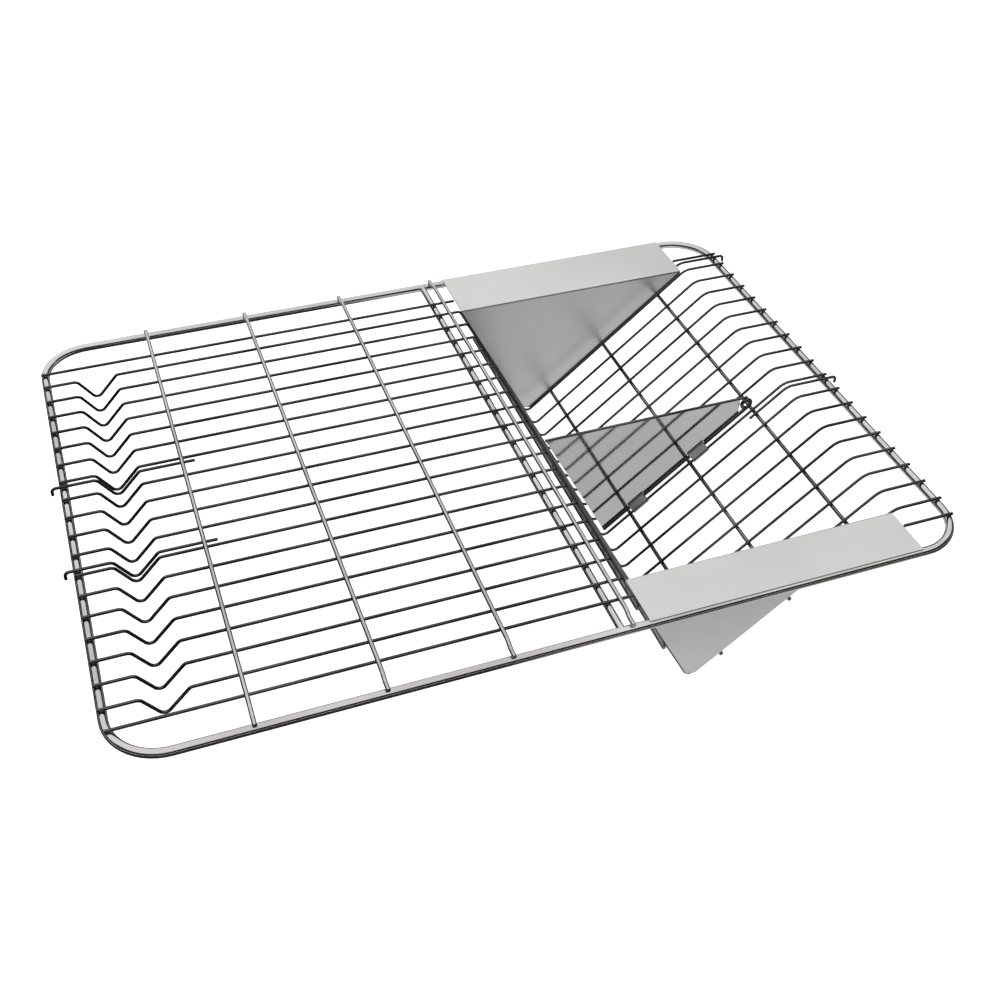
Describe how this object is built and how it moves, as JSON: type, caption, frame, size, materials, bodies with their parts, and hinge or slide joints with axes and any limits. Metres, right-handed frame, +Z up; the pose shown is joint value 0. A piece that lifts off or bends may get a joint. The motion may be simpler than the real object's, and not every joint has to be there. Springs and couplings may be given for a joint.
{
  "type": "dish drying rack",
  "caption": "Stainless wire drying rack for a wall unit: flat grid with a plate groove, deep V trough for cups, and a steel divider that folds down.",
  "frame": {"origin": "centre of the rectangular frame, on the underside of its frame rod", "axes": "+X to the right along the long side, towards the trough; +Y to the rear; +Z up"},
  "size_m": [0.5862, 0.42, 0.1224],
  "materials": {
    "wire_steel": "polished stainless wire",
    "rod_steel": "polished stainless rod",
    "plate_steel": "fine brushed stainless sheet",
    "divider_steel": "mirror polished stainless sheet",
    "clip_steel": "pressed stainless strap"
  },
  "bodies": {
    "rack": {"cross_wire_1": "wire_steel", "cross_wire_2": "wire_steel", "cross_wire_3": "wire_steel", "cross_wire_4": "wire_steel", "end_plate_front": "plate_steel", "end_plate_rear": "plate_steel", "frame_rod": "rod_steel", "hinge_clip_lower": "clip_steel", "hinge_clip_upper": "clip_steel", "hook_wire_left_front": "wire_steel", "hook_wire_left_rear": "wire_steel", "hook_wire_right_middle": "wire_steel", "hook_wire_right_rear": "wire_steel", "rack_wire_01": "wire_steel", "rack_wire_02": "wire_steel", "rack_wire_03": "wire_steel", "rack_wire_04": "wire_steel", "rack_wire_05": "wire_steel", "rack_wire_06": "wire_steel", "rack_wire_07": "wire_steel", "rack_wire_08": "wire_steel", "rack_wire_09": "wire_steel", "rack_wire_10": "wire_steel", "rack_wire_11": "wire_steel", "rack_wire_12": "wire_steel", "rack_wire_13": "wire_steel", "rack_wire_14": "wire_steel", "rack_wire_15": "wire_steel", "rack_wire_16": "wire_steel", "rack_wire_17": "wire_steel", "rack_wire_18": "wire_steel", "rack_wire_19": "wire_steel", "rack_wire_20": "wire_steel", "slope_cross_wire_1": "wire_steel", "slope_cross_wire_2": "wire_steel", "slope_cross_wire_3": "wire_steel", "stiffener_rod": "rod_steel", "stub_wire_front": "wire_steel", "stub_wire_rear": "wire_steel", "wall_cross_wire_1": "wire_steel", "wall_cross_wire_2": "wire_steel"},
    "divider": {"divider_hinge_wire": "wire_steel", "divider_plate": "divider_steel", "divider_top_wire": "wire_steel"}
  },
  "joints": [
    {"name": "divider_hinge", "type": "hinge", "parent": "rack", "child": "divider", "pos_m": [0.10888, -0.01065, -0.10881], "axis": [-0.766, 0, -0.6428], "range_deg": [0, 86]}
  ]
}
